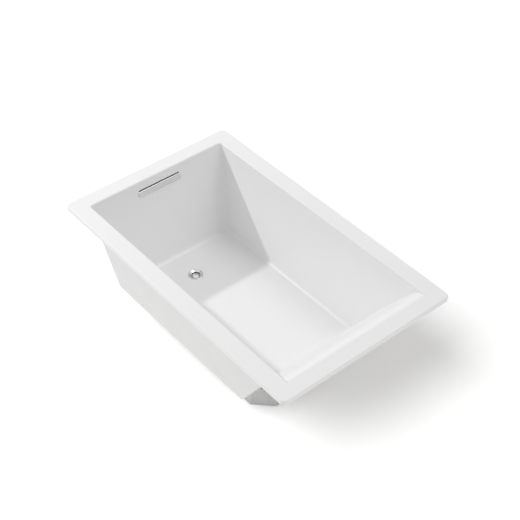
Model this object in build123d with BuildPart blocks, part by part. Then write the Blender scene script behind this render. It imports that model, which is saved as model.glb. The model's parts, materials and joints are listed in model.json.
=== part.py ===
"""Drop-in bathtub with a slotted overflow, a push drain and levelling feet.

Millimetres. The origin is on the ground below the middle of the rim. X runs along the
bath, from the drain end at -X to the backrest at +X, Y runs across it and Z is up.
"""
import os
from math import cos, degrees, radians, sin, tan

from build123d import *

os.makedirs("parts", exist_ok=True)

# Overall size
LENGTH = 1524.0
WIDTH = 914.4
HEIGHT = 559.0

# Deck and its turned-down lip
WALL = 7.0
LIP_HEIGHT = 23.0
LIP_WALL = 6.0
DECK_CORNER = 25.0
DECK_EDGE = 4.0

# Basin: where its mouth meets the deck, and how its walls lean
MOUTH_HALF_WIDTH = 378.0
MOUTH_DRAIN_X = -687.0
MOUTH_BACKREST_X = 700.0
SIDE_DRAFT = radians(6.3)
DRAIN_END_DRAFT = radians(13.0)
MOUTH_CORNER = 12.0
MOUTH_EDGE = 6.0
FLOOR_CORNER = 64.0
FLOOR_FILLET = 50.0
DEPTH_AT_DRAIN = 457.0
FLOOR_FALL = radians(0.4)
BACKREST_OVERRUN = 20.0

# Backrest, seen from the side: a roll over the deck's edge, a full lumbar curve, a foot
ROLL_RADIUS = 95.0
ROLL_SLOPE = 50.0
FOOT_SLOPE = 60.0
FOOT_RADIUS = 80.0

# Drain
DRAIN_X = -415.0
FLOOR_Z = HEIGHT - DEPTH_AT_DRAIN
UNDERSIDE_Z = FLOOR_Z - WALL
FLANGE_RADIUS = 35.0
FLANGE_RECESS = 3.0
RECESS_GAP = 1.0
FLANGE_SEAT_Z = FLOOR_Z - FLANGE_RECESS
FLANGE_TOP_Z = FLANGE_SEAT_Z + 3.5
BARREL_RADIUS = 25.0
DRAIN_HOLE_RADIUS = 26.0
THROAT_RADIUS = 22.0
STRAINER_RADIUS = 15.5
SEAT_Z = 81.0
BARREL_BOTTOM_Z = 60.0

# Stopper, shown raised: it drops 8.4 to close
CAP_RADIUS = 17.5
CAP_TOP_Z = 98.0
CAP_UNDERSIDE_Z = 92.0
STOPPER_GASKET_RADIUS = 18.5
STOPPER_GASKET_THICKNESS = 2.5
STOPPER_GASKET_CHAMFER = 1.0
STEM_RADIUS = 2.5
PLUNGER_RADIUS = 4.45
RUNNING_FIT = 0.05
CARTRIDGE_TOP_Z = 78.5
CARTRIDGE_BOTTOM_Z = 44.0
CHAMBER_BOTTOM_Z = 46.0
CHAMBER_TOP_Z = 76.5

# Waste pipes, 1 1/2 in tube
TUBE_RADIUS = 19.05
TUBE_BORE = 17.5
SOCKET_BORE = 19.15
SOCKET_RADIUS = 23.0
SOCKET_DEPTH = 25.0
PIPE_Z = 47.0
OVERFLOW_PIPE_X = -710.0
SHOE_REACH = 70.0
TEE_REACH = 50.0
OUTLET_Z = 6.0

# Overflow
OVERFLOW_DEPTH = 50.0
SLOT_LENGTH = 236.0
SLOT_HEIGHT = 16.0
STUD_X = 90.0
STUD_Y = -19.0
STUD_RADIUS = 2.5
STUD_CLEARANCE = 0.25
STUD_LENGTH = 24.0
STUD_NUT_RADIUS = 4.6
STUD_NUT_THICKNESS = 4.0
TRIM_LENGTH = 244.0
TRIM_TOP = -1.0
TRIM_BOTTOM = -29.0
TRIM_CORNER = 15.0
TRIM_PROUD = 7.0
TRIM_SKIN = 2.0
TRIM_RETURN = 2.5
TRIM_ROUND = 1.5
TRIM_BOSS_RADIUS = 6.0
OVERFLOW_GASKET_THICKNESS = 2.0
HOUSING_LENGTH = 266.0
HOUSING_HEIGHT = 50.0
HOUSING_CORNER = 10.0
FLANGE_CENTRE_Y = -9.0
HOUSING_FLANGE = 4.0
HOUSING_WALL = 3.0
HOUSING_BOX_DEPTH = 24.0
HOPPER_WIDTH = 64.0
HOPPER_DROP = 36.0
HOPPER_DEPTH = 34.0
SPIGOT_Z = 440.0
SPIGOT_LENGTH = 50.0

# Waste fittings
WASHER_TOP_Z = 95.3
WASHER_THICKNESS = 4.0
WASHER_RADIUS = 37.0
WASHER_SEAT_GAP = 3.0
FLANGE_ROUND = 1.3
DISH_RADIUS = 32.0
DISH_BOTTOM_Z = 98.8
SPIDER_ARMS = 4
SPIDER_ARM_WIDTH = 3.5
SPIDER_ROOT = 1.0
SPIDER_BOSS_RADIUS = 9.5
SPIDER_THICKNESS = 6.0
CARTRIDGE_RADIUS = 8.0
CARTRIDGE_THREAD_RADIUS = 6.0
CAP_CROWN = 3.0
STEM_TOP_Z = 95.0
PLUNGER_BOTTOM_Z = 74.4
SPRING_WIRE = 0.9
SPRING_RADIUS = 3.6
SPRING_TURNS = 6
SHOE_RADIUS = 29.0
SHOE_ROUND = 8.0
SHOE_FLANGE = 4.0
SHOE_BORE = 20.0
SLIP_WASHER_THICKNESS = 3.0
SLIP_NUT_GRIP = 12.0
SLIP_NUT_CAP = 4.0
SLIP_NUT_RADIUS = 27.0
SLIP_NUT_RIB = 3.0
SLIP_NUT_RIBS = 12

# Battens under the deck
BATTEN_THICKNESS = 14.0
BATTEN_CHAMFER = 1.5
BATTEN_WIDTH = 45.0
BATTEN_Y = 418.5
SIDE_BATTEN_X = 2.5
SIDE_BATTEN_LENGTH = 1385.0
END_BATTEN_WIDTH = 40.0
END_BATTEN_LENGTH = 880.0
DRAIN_BATTEN_X = -727.0
BACKREST_BATTEN_X = 727.0

# Base board and the blocks under it
BOARD_CORNER = 30.0
BOARD_HOLE_RADIUS = 55.0
BLOCK_INBOARD = 100.0
BLOCK_OUTBOARD = 85.0
BLOCK_INNER_Y = 110.0
BLOCK_OUTER_Y = 262.0
BLOCK_CHAMFER = 82.0
BLOCK_EDGE = 6.0
BLOCK_BOTTOM_CHAMFER = 2.0
BOARD_Z = 80.0
BLOCK_BOTTOM_Z = 3.0
BLOCK_TOP_Z = 110.0
BOARD_DRAIN_X = -520.0
BOARD_BACKREST_X = 285.0
BOARD_HALF_WIDTH = 268.0
FOOT_Y = 185.0
FEET = {
    "backrest_left": (315.0, -FOOT_Y),
    "backrest_right": (315.0, FOOT_Y),
    "drain_left": (-480.0, -FOOT_Y),
    "drain_right": (-480.0, FOOT_Y),
}

# Levelling feet, M10, shown screwed right in
STUD_SIZE = 10.0
STUD_TOP_Z = 66.0
STUD_CHAMFER = 1.0
INSERT_RADIUS = 8.0
INSERT_BOTTOM_Z = 24.0
INSERT_TOP_Z = 50.0
LOCK_NUT_RADIUS = 9.8
LOCK_NUT_THICKNESS = 7.0
PAD_RADIUS = 23.0
PAD_THICKNESS = 6.0
PAD_CHAMFER = 1.5
PAD_NECK_RADIUS = 8.0
PAD_NECK_Z = 8.0
PAD_TOP_Z = 13.0
PAD_RECESS = (27.0, 15.0)
LOCK_NUT_POCKET = (12.0, INSERT_BOTTOM_Z)
STUD_ROOM = (6.0, 70.0)

# Screws that hold the blocks to the board
SCREW_RADIUS = 2.5
SCREW_HEAD_RADIUS = 5.0
SCREW_HEAD_THICKNESS = 3.0
SCREW_HEAD_Z = 55.0
SCREW_TIP_Z = 91.0
SCREW_ACCESS_RADIUS = 6.5
SCREW_ROWS = (-405.0, 240.0)
SCREW_LINES = (-235.0, -140.0, 140.0, 235.0)
SCREWS = [(x, y) for x in SCREW_ROWS for y in SCREW_LINES]

OVERFLOW_PLANE = Plane(
    origin=(MOUTH_DRAIN_X + OVERFLOW_DEPTH * tan(DRAIN_END_DRAFT), 0, HEIGHT - OVERFLOW_DEPTH),
    x_dir=(0, 1, 0),
    z_dir=(cos(DRAIN_END_DRAFT), 0, sin(DRAIN_END_DRAFT)),
)


OVERFLOW_AXIS = Axis(OVERFLOW_PLANE.origin, OVERFLOW_PLANE.z_dir)


def save(builder, name):
    """Label the finished piece and write its file."""
    builder.part.label = name
    export_step(builder.part, f"parts/{name}.step")


def disc(plane, radius):
    """A circle on a plane, to be drawn out into a round bar or a bore."""
    with BuildSketch(plane) as circle:
        Circle(radius)
    return circle.sketch


def drain_level(z):
    """A level plane centred on the drain."""
    return Plane((DRAIN_X, 0, z))


# Basin


def basin_half_width(depth, offset):
    """Half width between the side walls at a depth, each wall moved out by offset."""
    return MOUTH_HALF_WIDTH - depth * tan(SIDE_DRAFT) + offset / cos(SIDE_DRAFT)


def basin_outline(plane, ends, corner):
    """One level of the basin: a trapezium with rounded corners, from (x, half width) ends."""
    (drain_x, drain_half), (near_x, near_half) = ends
    with BuildSketch(plane) as outline:
        with BuildLine():
            Polyline(
                (drain_x, -drain_half),
                (near_x, -near_half),
                (near_x, near_half),
                (drain_x, drain_half),
                close=True,
            )
        make_face()
        fillet(outline.vertices(), corner)
    return outline.sketch


def lumbar_radius():
    """Radius of the lumbar curve that brings the foot of the backrest down onto the floor."""
    slope, steep = radians(ROLL_SLOPE), radians(FOOT_SLOPE)
    fall = tan(FLOOR_FALL)
    run = MOUTH_BACKREST_X - DRAIN_X - ROLL_RADIUS * sin(slope)
    run -= FOOT_RADIUS * (sin(steep) - sin(FLOOR_FALL))
    drop = DEPTH_AT_DRAIN - fall * run - ROLL_RADIUS * (1 - cos(slope))
    drop -= FOOT_RADIUS * (cos(FLOOR_FALL) - cos(steep))
    return drop / (cos(slope) - cos(steep) - fall * (sin(steep) - sin(slope)))


def basin_solid(offset):
    """The space inside the basin as a solid, every face moved out by offset."""
    near_x = MOUTH_BACKREST_X + BACKREST_OVERRUN
    slope = tan(DRAIN_END_DRAFT)
    fall = tan(FLOOR_FALL)
    depth = DEPTH_AT_DRAIN + offset / cos(FLOOR_FALL)
    mouth_x = MOUTH_DRAIN_X - offset / cos(DRAIN_END_DRAFT)
    floor_x = (mouth_x + slope * (depth + fall * DRAIN_X)) / (1 + slope * fall)
    drain_depth = depth - fall * (floor_x - DRAIN_X)
    near_depth = depth - fall * (near_x - DRAIN_X)
    floor = Plane(
        origin=(DRAIN_X, 0, HEIGHT - depth),
        x_dir=(cos(FLOOR_FALL), 0, sin(FLOOR_FALL)),
        z_dir=(-sin(FLOOR_FALL), 0, cos(FLOOR_FALL)),
    )
    mouth_ends = [(mouth_x, basin_half_width(0, offset)), (near_x, basin_half_width(0, offset))]
    floor_ends = [
        ((floor_x - DRAIN_X) / cos(FLOOR_FALL), basin_half_width(drain_depth, offset)),
        ((near_x - DRAIN_X) / cos(FLOOR_FALL), basin_half_width(near_depth, offset)),
    ]
    with BuildPart() as basin:
        mouth = basin_outline(Plane.XY.offset(HEIGHT), mouth_ends, MOUTH_CORNER + offset)
        base = basin_outline(floor, floor_ends, FLOOR_CORNER + offset)
        loft([base, mouth], ruled=True)
        fillet(basin.faces().sort_by(Axis.Z)[0].edges(), FLOOR_FILLET + offset)
        with BuildSketch(Plane.XZ):
            with BuildLine():
                roll = JernArc(
                    (MOUTH_BACKREST_X, HEIGHT - offset), (-1, 0), ROLL_RADIUS - offset, ROLL_SLOPE
                )
                lumbar = JernArc(
                    roll @ 1, roll % 1, lumbar_radius() - offset, FOOT_SLOPE - ROLL_SLOPE
                )
                foot = JernArc(
                    lumbar @ 1, lumbar % 1, FOOT_RADIUS + offset, degrees(FLOOR_FALL) - FOOT_SLOPE
                )
                base_line = Line(foot @ 1, foot @ 1 + foot % 1 * LENGTH)
                Polyline(base_line @ 1, (-LENGTH, 2 * HEIGHT), (MOUTH_BACKREST_X, 2 * HEIGHT), roll @ 0)
            make_face()
        extrude(amount=WIDTH / 2, both=True, mode=Mode.INTERSECT)
    return basin.part


inside = basin_solid(0)
outside = basin_solid(WALL)

with BuildPart() as bath_shell:
    with BuildSketch(Plane.XY.offset(HEIGHT)):
        RectangleRounded(LENGTH, WIDTH, DECK_CORNER)
    extrude(amount=-LIP_HEIGHT)
    fillet(bath_shell.faces().sort_by(Axis.Z)[-1].edges(), DECK_EDGE)
    with BuildSketch(Plane.XY.offset(HEIGHT - WALL)):
        RectangleRounded(LENGTH - 2 * LIP_WALL, WIDTH - 2 * LIP_WALL, DECK_CORNER - LIP_WALL)
    extrude(amount=-LIP_HEIGHT, mode=Mode.SUBTRACT)
    add(outside)
    add(inside, mode=Mode.SUBTRACT)
    # The backrest rolls over onto the deck by itself; the other three walls meet it in an edge
    deck = bath_shell.edges().filter_by_position(Axis.Z, HEIGHT, HEIGHT)
    mouth = deck.filter_by_position(Axis.Y, -MOUTH_HALF_WIDTH, MOUTH_HALF_WIDTH)
    fillet(mouth.filter_by(lambda edge: edge.center().X < MOUTH_BACKREST_X - 1), MOUTH_EDGE)
    # Recess and hole for the drain, with a level seat for its washer underneath
    recess = disc(drain_level(FLANGE_SEAT_Z), FLANGE_RADIUS + RECESS_GAP)
    washer_seat = disc(drain_level(WASHER_TOP_Z), WASHER_RADIUS + WASHER_SEAT_GAP)
    extrude(recess, amount=2 * WALL, mode=Mode.SUBTRACT)
    extrude(washer_seat, amount=-WALL, mode=Mode.SUBTRACT)
    extrude(disc(drain_level(BOARD_Z), DRAIN_HOLE_RADIUS), amount=3 * WALL, mode=Mode.SUBTRACT)
    # Overflow slot with a stud hole under each end
    with BuildSketch(OVERFLOW_PLANE.offset(WALL)):
        SlotOverall(SLOT_LENGTH, SLOT_HEIGHT)
        with Locations((-STUD_X, STUD_Y), (STUD_X, STUD_Y)):
            Circle(STUD_RADIUS + STUD_CLEARANCE)
    extrude(amount=-3 * WALL, mode=Mode.SUBTRACT)
save(bath_shell, "bath_shell")


# Wooden battens bonded under the deck, to stiffen it

BATTENS = {
    "left": (SIDE_BATTEN_X, -BATTEN_Y, SIDE_BATTEN_LENGTH, BATTEN_WIDTH),
    "right": (SIDE_BATTEN_X, BATTEN_Y, SIDE_BATTEN_LENGTH, BATTEN_WIDTH),
    "drain_end": (DRAIN_BATTEN_X, 0, END_BATTEN_WIDTH, END_BATTEN_LENGTH),
    "backrest_end": (BACKREST_BATTEN_X, 0, END_BATTEN_WIDTH, END_BATTEN_LENGTH),
}
for side, (x, y, length, width) in BATTENS.items():
    with BuildPart() as batten:
        with BuildSketch(Plane.XY.offset(HEIGHT - WALL)):
            with Locations((x, y)):
                Rectangle(length, width)
        extrude(amount=-BATTEN_THICKNESS)
        chamfer(batten.faces().sort_by(Axis.Z)[0].edges(), BATTEN_CHAMFER)
    save(batten, f"rim_batten_{side}")


# Base board bedded on the underside, level below and following the fall of the floor above

with BuildPart() as base_board:
    with BuildSketch(Plane.XY.offset(BOARD_Z)):
        with Locations(((BOARD_DRAIN_X + BOARD_BACKREST_X) / 2, 0)):
            RectangleRounded(BOARD_BACKREST_X - BOARD_DRAIN_X, 2 * BOARD_HALF_WIDTH, BOARD_CORNER)
        with Locations((DRAIN_X, 0)):
            Circle(BOARD_HOLE_RADIUS, mode=Mode.SUBTRACT)
        with Locations(*SCREWS):
            Circle(SCREW_RADIUS, mode=Mode.SUBTRACT)
    extrude(amount=2 * (UNDERSIDE_Z - BOARD_Z))
    add(outside, mode=Mode.SUBTRACT)
save(base_board, "base_board")


# Corner blocks: a shoulder nests against the rounded underside beyond the board


def block_outline(x, y):
    """Plan of one block: a rectangle whose outer corner is cut off at 45 degrees."""
    out_x = 1 if x > 0 else -1
    out_y = 1 if y > 0 else -1
    inner_x, outer_x = x - out_x * BLOCK_INBOARD, x + out_x * BLOCK_OUTBOARD
    inner_y, outer_y = out_y * BLOCK_INNER_Y, out_y * BLOCK_OUTER_Y
    Polyline(
        (inner_x, inner_y),
        (outer_x, inner_y),
        (outer_x, outer_y - out_y * BLOCK_CHAMFER),
        (outer_x - out_x * BLOCK_CHAMFER, outer_y),
        (inner_x, outer_y),
        close=True,
    )


for corner, (x, y) in FEET.items():
    with BuildPart() as foot_block:
        with BuildSketch(Plane.XY.offset(BLOCK_BOTTOM_Z)):
            with BuildLine():
                block_outline(x, y)
            make_face()
        extrude(amount=BLOCK_TOP_Z - BLOCK_BOTTOM_Z)
        fillet(foot_block.edges().filter_by(Axis.Z), BLOCK_EDGE)
        chamfer(foot_block.faces().sort_by(Axis.Z)[0].edges(), BLOCK_BOTTOM_CHAMFER)
        add(outside, mode=Mode.SUBTRACT)
        add(base_board.part, mode=Mode.SUBTRACT)
        # One bore above another, each a radius and the height it reaches
        for radius, top in (PAD_RECESS, LOCK_NUT_POCKET, (INSERT_RADIUS, INSERT_TOP_Z), STUD_ROOM):
            bore = disc(Plane((x, y, BLOCK_BOTTOM_Z)), radius)
            extrude(bore, amount=top - BLOCK_BOTTOM_Z, mode=Mode.SUBTRACT)
        # Counterbored screw holes up into the board
        with BuildSketch(Plane.XY.offset(BLOCK_BOTTOM_Z)):
            with Locations(*SCREWS):
                Circle(SCREW_ACCESS_RADIUS)
        extrude(amount=SCREW_HEAD_Z - BLOCK_BOTTOM_Z, mode=Mode.SUBTRACT)
        with BuildSketch(Plane.XY.offset(SCREW_HEAD_Z)):
            with Locations(*SCREWS):
                Circle(SCREW_RADIUS)
        extrude(amount=BLOCK_TOP_Z - SCREW_HEAD_Z, mode=Mode.SUBTRACT)
    save(foot_block, f"foot_block_{corner}")

with BuildPart() as block_screws:
    with BuildSketch(Plane.XY.offset(SCREW_HEAD_Z)):
        with Locations(*SCREWS):
            Circle(SCREW_RADIUS)
    extrude(amount=SCREW_TIP_Z - SCREW_HEAD_Z)
    with BuildSketch(Plane.XY.offset(SCREW_HEAD_Z)):
        with Locations(*SCREWS):
            Circle(SCREW_HEAD_RADIUS)
    extrude(amount=-SCREW_HEAD_THICKNESS)
save(block_screws, "block_screws")


# Levelling feet: threaded insert and lock nut in each block, stud and pad that screw down

with BuildPart() as foot_inserts:
    with BuildSketch(Plane.XY.offset(INSERT_BOTTOM_Z)):
        with Locations(*FEET.values()):
            Circle(INSERT_RADIUS)
            Circle(STUD_SIZE / 2 + RUNNING_FIT, mode=Mode.SUBTRACT)
    extrude(amount=INSERT_TOP_Z - INSERT_BOTTOM_Z)
save(foot_inserts, "foot_inserts")

with BuildPart() as foot_lock_nuts:
    with BuildSketch(Plane.XY.offset(INSERT_BOTTOM_Z)):
        with Locations(*FEET.values()):
            RegularPolygon(LOCK_NUT_RADIUS, 6)
            Circle(STUD_SIZE / 2 + RUNNING_FIT, mode=Mode.SUBTRACT)
    extrude(amount=-LOCK_NUT_THICKNESS)
save(foot_lock_nuts, "foot_lock_nuts")

for corner, (x, y) in FEET.items():
    with BuildPart() as foot_pad:
        with BuildSketch(Plane.XZ.offset(-y)):
            with BuildLine():
                Polyline(
                    (x, 0),
                    (x + PAD_RADIUS - PAD_CHAMFER, 0),
                    (x + PAD_RADIUS, PAD_CHAMFER),
                    (x + PAD_RADIUS, PAD_THICKNESS),
                    (x + PAD_NECK_RADIUS, PAD_NECK_Z),
                    (x + PAD_NECK_RADIUS, PAD_TOP_Z),
                    (x + STUD_SIZE / 2, PAD_TOP_Z),
                    (x + STUD_SIZE / 2, PAD_CHAMFER),
                    (x, PAD_CHAMFER),
                    close=True,
                )
            make_face()
        revolve(axis=Axis((x, y, 0), (0, 0, 1)))
    save(foot_pad, f"foot_pad_{corner}")
    with BuildPart() as foot_stud:
        extrude(disc(Plane((x, y, PAD_CHAMFER)), STUD_SIZE / 2), amount=STUD_TOP_Z - PAD_CHAMFER)
        chamfer(foot_stud.faces().sort_by(Axis.Z)[-1].edges(), STUD_CHAMFER)
    save(foot_stud, f"foot_stud_{corner}")


# Drain flange: a dished ring in the floor, its barrel, and a spider that holds the stopper

DRAIN_AXIS = Axis((DRAIN_X, 0, 0), (0, 0, 1))


def half_section(*points):
    """Half of a turned piece's section, from (radius, z) points beside the drain's axis."""
    with BuildSketch(Plane.XZ) as section:
        with BuildLine():
            Polyline(*[(DRAIN_X + radius, z) for radius, z in points], close=True)
        make_face()
    return section.sketch


with BuildPart() as drain_flange:
    section = half_section(
        (STRAINER_RADIUS, BARREL_BOTTOM_Z),
        (BARREL_RADIUS, BARREL_BOTTOM_Z),
        (BARREL_RADIUS, FLANGE_SEAT_Z),
        (FLANGE_RADIUS, FLANGE_SEAT_Z),
        (FLANGE_RADIUS, FLANGE_TOP_Z - FLANGE_ROUND),
        (FLANGE_RADIUS - FLANGE_ROUND, FLANGE_TOP_Z),
        (DISH_RADIUS, FLANGE_TOP_Z),
        (THROAT_RADIUS, DISH_BOTTOM_Z),
        (THROAT_RADIUS, SEAT_Z),
        (STRAINER_RADIUS, SEAT_Z),
    )
    revolve(section, axis=DRAIN_AXIS)
    with BuildSketch(drain_level(BARREL_BOTTOM_Z)):
        Circle(SPIDER_BOSS_RADIUS)
        with PolarLocations(STRAINER_RADIUS / 2, SPIDER_ARMS):
            Rectangle(STRAINER_RADIUS + SPIDER_ROOT, SPIDER_ARM_WIDTH)
        Circle(CARTRIDGE_THREAD_RADIUS, mode=Mode.SUBTRACT)
    extrude(amount=SPIDER_THICKNESS)
save(drain_flange, "drain_flange")

with BuildPart() as drain_washer:
    section = half_section(
        (BARREL_RADIUS, WASHER_TOP_Z - WASHER_THICKNESS),
        (WASHER_RADIUS, WASHER_TOP_Z - WASHER_THICKNESS),
        (WASHER_RADIUS, WASHER_TOP_Z),
        (BARREL_RADIUS, WASHER_TOP_Z),
    )
    revolve(section, axis=DRAIN_AXIS)
save(drain_washer, "drain_washer")


# Stopper: cap, gasket and plunger move together in the fixed cartridge, over its spring

with BuildPart() as stopper_cap:
    with BuildSketch(Plane.XZ):
        with BuildLine():
            crown = ThreePointArc(
                (DRAIN_X, CAP_TOP_Z),
                (DRAIN_X + CAP_RADIUS / 2, CAP_TOP_Z - CAP_CROWN / 4),
                (DRAIN_X + CAP_RADIUS, CAP_TOP_Z - CAP_CROWN),
            )
            Polyline(
                crown @ 1,
                (DRAIN_X + CAP_RADIUS, CAP_UNDERSIDE_Z),
                (DRAIN_X + STEM_RADIUS, CAP_UNDERSIDE_Z),
                (DRAIN_X + STEM_RADIUS, STEM_TOP_Z),
                (DRAIN_X, STEM_TOP_Z),
                crown @ 0,
            )
        make_face()
    revolve(axis=DRAIN_AXIS)
save(stopper_cap, "stopper_cap")

with BuildPart() as stopper_gasket:
    gasket_bottom = CAP_UNDERSIDE_Z - STOPPER_GASKET_THICKNESS
    section = half_section(
        (STEM_RADIUS, gasket_bottom),
        (STOPPER_GASKET_RADIUS - STOPPER_GASKET_CHAMFER, gasket_bottom),
        (STOPPER_GASKET_RADIUS, gasket_bottom + STOPPER_GASKET_CHAMFER),
        (STOPPER_GASKET_RADIUS, CAP_UNDERSIDE_Z),
        (STEM_RADIUS, CAP_UNDERSIDE_Z),
    )
    revolve(section, axis=DRAIN_AXIS)
save(stopper_gasket, "stopper_gasket")

with BuildPart() as stopper_plunger:
    section = half_section(
        (0, PLUNGER_BOTTOM_Z),
        (PLUNGER_RADIUS, PLUNGER_BOTTOM_Z),
        (PLUNGER_RADIUS, CHAMBER_TOP_Z),
        (STEM_RADIUS, CHAMBER_TOP_Z),
        (STEM_RADIUS, STEM_TOP_Z),
        (0, STEM_TOP_Z),
    )
    revolve(section, axis=DRAIN_AXIS)
save(stopper_plunger, "stopper_plunger")

with BuildPart() as stopper_cartridge:
    section = half_section(
        (0, CARTRIDGE_BOTTOM_Z),
        (CARTRIDGE_THREAD_RADIUS, CARTRIDGE_BOTTOM_Z),
        (CARTRIDGE_THREAD_RADIUS, BARREL_BOTTOM_Z + SPIDER_THICKNESS),
        (CARTRIDGE_RADIUS, BARREL_BOTTOM_Z + SPIDER_THICKNESS),
        (CARTRIDGE_RADIUS, CARTRIDGE_TOP_Z),
        (STEM_RADIUS + RUNNING_FIT, CARTRIDGE_TOP_Z),
        (STEM_RADIUS + RUNNING_FIT, CHAMBER_TOP_Z),
        (PLUNGER_RADIUS + RUNNING_FIT, CHAMBER_TOP_Z),
        (PLUNGER_RADIUS + RUNNING_FIT, CHAMBER_BOTTOM_Z),
        (0, CHAMBER_BOTTOM_Z),
    )
    revolve(section, axis=DRAIN_AXIS)
save(stopper_cartridge, "stopper_cartridge")

SPRING_BOTTOM_Z = CHAMBER_BOTTOM_Z + SPRING_WIRE / 2
SPRING_HEIGHT = PLUNGER_BOTTOM_Z - CHAMBER_BOTTOM_Z - SPRING_WIRE
with BuildPart() as stopper_spring:
    with BuildLine(Plane((DRAIN_X, 0, SPRING_BOTTOM_Z))) as coil:
        Helix(SPRING_HEIGHT / SPRING_TURNS, SPRING_HEIGHT, SPRING_RADIUS)
    with BuildSketch(Plane(coil.line @ 0, z_dir=coil.line % 0)):
        RegularPolygon(SPRING_WIRE / 2, 6)
    sweep()
save(stopper_spring, "stopper_spring")


# Drain shoe: screwed up onto the flange's barrel, it turns the waste towards the drain end

SHOE_TOP_Z = WASHER_TOP_Z - WASHER_THICKNESS
SHOE_BOTTOM_Z = PIPE_Z - SOCKET_RADIUS
SHOE_SIDE = Plane((DRAIN_X, 0, PIPE_Z), x_dir=(0, 1, 0), z_dir=(1, 0, 0))
with BuildPart() as drain_shoe:
    extrude(disc(drain_level(SHOE_BOTTOM_Z), SHOE_RADIUS), amount=SHOE_TOP_Z - SHOE_BOTTOM_Z)
    fillet(drain_shoe.faces().sort_by(Axis.Z)[0].edges(), SHOE_ROUND)
    extrude(disc(drain_level(SHOE_TOP_Z), WASHER_RADIUS), amount=-SHOE_FLANGE)
    extrude(disc(SHOE_SIDE, SOCKET_RADIUS), amount=-SHOE_REACH)
    # Thread for the barrel, the bend's bore, and the socket of the waste pipe
    thread = disc(drain_level(BARREL_BOTTOM_Z), BARREL_RADIUS)
    bend = disc(drain_level(BARREL_BOTTOM_Z), SHOE_BORE)
    extrude(thread, amount=WASHER_TOP_Z - BARREL_BOTTOM_Z, mode=Mode.SUBTRACT)
    extrude(bend, amount=PIPE_Z - TUBE_BORE - BARREL_BOTTOM_Z, mode=Mode.SUBTRACT)
    extrude(disc(SHOE_SIDE, TUBE_BORE), amount=-SHOE_REACH, mode=Mode.SUBTRACT)
    extrude(disc(SHOE_SIDE.offset(-SHOE_REACH), SOCKET_BORE), amount=SOCKET_DEPTH, mode=Mode.SUBTRACT)
save(drain_shoe, "drain_shoe")


# Waste tee under the overflow, with its outlet pointing down

TEE_CENTRE = (OVERFLOW_PIPE_X, 0, PIPE_Z)
TEE_UP = Plane(TEE_CENTRE)
TEE_DOWN = Plane(TEE_CENTRE, z_dir=(0, 0, -1))
TEE_SIDE = Plane(TEE_CENTRE, z_dir=(1, 0, 0))
with BuildPart() as waste_tee:
    extrude(disc(TEE_UP, SOCKET_RADIUS), amount=TEE_REACH)
    extrude(disc(TEE_SIDE, SOCKET_RADIUS), amount=TEE_REACH)
    extrude(disc(TEE_DOWN, SOCKET_RADIUS), amount=SOCKET_RADIUS)
    extrude(disc(TEE_DOWN, TUBE_RADIUS), amount=PIPE_Z - OUTLET_Z)
    extrude(disc(TEE_UP, TUBE_BORE), amount=TEE_REACH, mode=Mode.SUBTRACT)
    extrude(disc(TEE_SIDE, TUBE_BORE), amount=TEE_REACH, mode=Mode.SUBTRACT)
    extrude(disc(TEE_DOWN, TUBE_BORE), amount=PIPE_Z - OUTLET_Z, mode=Mode.SUBTRACT)
    for mouth in (TEE_UP.offset(TEE_REACH), TEE_SIDE.offset(TEE_REACH)):
        extrude(disc(mouth, SOCKET_BORE), amount=-SOCKET_DEPTH, mode=Mode.SUBTRACT)
save(waste_tee, "waste_tee")

DRAIN_PIPE_START = OVERFLOW_PIPE_X + TEE_REACH - SOCKET_DEPTH
DRAIN_PIPE_END = DRAIN_X - SHOE_REACH + SOCKET_DEPTH
with BuildPart() as drain_pipe:
    with BuildSketch(Plane((DRAIN_PIPE_START, 0, PIPE_Z), z_dir=(1, 0, 0))):
        Circle(TUBE_RADIUS)
        Circle(TUBE_BORE, mode=Mode.SUBTRACT)
    extrude(amount=DRAIN_PIPE_END - DRAIN_PIPE_START)
save(drain_pipe, "drain_pipe")

OVERFLOW_PIPE_BOTTOM = PIPE_Z + TEE_REACH - SOCKET_DEPTH
OVERFLOW_PIPE_TOP = SPIGOT_Z + SOCKET_DEPTH
with BuildPart() as overflow_pipe:
    with BuildSketch(Plane((OVERFLOW_PIPE_X, 0, OVERFLOW_PIPE_BOTTOM))):
        Circle(TUBE_RADIUS)
        Circle(TUBE_BORE, mode=Mode.SUBTRACT)
    extrude(amount=OVERFLOW_PIPE_TOP - OVERFLOW_PIPE_BOTTOM)
save(overflow_pipe, "overflow_pipe")


# Slip joints: a sealing ring and a ribbed nut on each of the four sockets

SPIGOT = Plane((OVERFLOW_PIPE_X, 0, SPIGOT_Z), z_dir=(0, 0, -1))
SOCKET_MOUTHS = [
    Plane((DRAIN_X - SHOE_REACH, 0, PIPE_Z), z_dir=(-1, 0, 0)),
    TEE_SIDE.offset(TEE_REACH),
    TEE_UP.offset(TEE_REACH),
    SPIGOT,
]
with BuildPart() as slip_washers:
    for mouth in SOCKET_MOUTHS:
        with BuildSketch(mouth):
            Circle(SOCKET_RADIUS)
            Circle(TUBE_RADIUS, mode=Mode.SUBTRACT)
        extrude(amount=SLIP_WASHER_THICKNESS)
save(slip_washers, "slip_washers")

with BuildPart() as slip_nuts:
    for mouth in SOCKET_MOUTHS:
        with BuildSketch(mouth.offset(-SLIP_NUT_GRIP)):
            Circle(SLIP_NUT_RADIUS)
            with PolarLocations(SLIP_NUT_RADIUS, SLIP_NUT_RIBS):
                Rectangle(SLIP_NUT_RIB, SLIP_NUT_RIB)
            Circle(SOCKET_RADIUS, mode=Mode.SUBTRACT)
        extrude(amount=SLIP_NUT_GRIP + SLIP_WASHER_THICKNESS)
        with BuildSketch(mouth.offset(SLIP_WASHER_THICKNESS)):
            Circle(SLIP_NUT_RADIUS)
            Circle(TUBE_RADIUS, mode=Mode.SUBTRACT)
        extrude(amount=SLIP_NUT_CAP)
save(slip_nuts, "slip_nuts")


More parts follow.
